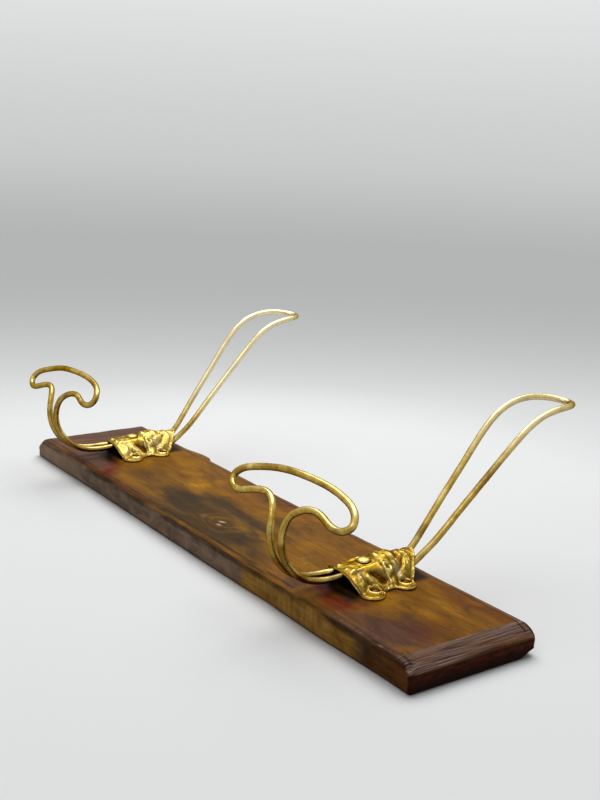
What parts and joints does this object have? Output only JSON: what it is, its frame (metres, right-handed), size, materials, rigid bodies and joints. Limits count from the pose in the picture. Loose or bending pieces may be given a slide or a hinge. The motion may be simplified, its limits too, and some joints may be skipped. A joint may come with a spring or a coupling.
{
  "type": "wall hat and coat rack",
  "caption": "Chamfered varnished board carrying double bent-wire hooks, each with a mushroom-shaped coat loop and a long hat loop under a stamped brass cover plate.",
  "frame": {"origin": "centre of the board's back face, which goes against the wall", "axes": "+X along the board to the right as it hangs, +Y up along the wall, +Z out from the wall; the rack is stored lying on its back"},
  "size_m": [0.413, 0.2058, 0.1042],
  "materials": {
    "board_wood": "aged glossy varnish over figured hardwood, worn along the edges",
    "wire_brass": "brassed wire with a brown patina",
    "plate_brass": "stamped brass, bright on the high places and dark in the hollows",
    "dome_brass": "polished by touch, dark round its rim",
    "nail_brass": "dull, tarnished"
  },
  "bodies": {
    "root": {"board": "board_wood", "right_hook": "wire_brass", "left_hook": "wire_brass", "right_cover_plate": "plate_brass", "left_cover_plate": "plate_brass", "right_domed_nail": "dome_brass", "left_domed_nail": "dome_brass", "right_nail_lower_outer": "nail_brass", "right_nail_lower_inner": "nail_brass", "right_nail_upper_outer": "nail_brass", "right_nail_upper_inner": "nail_brass", "left_nail_lower_outer": "nail_brass", "left_nail_lower_inner": "nail_brass", "left_nail_upper_outer": "nail_brass", "left_nail_upper_inner": "nail_brass"}
  },
  "joints": []
}
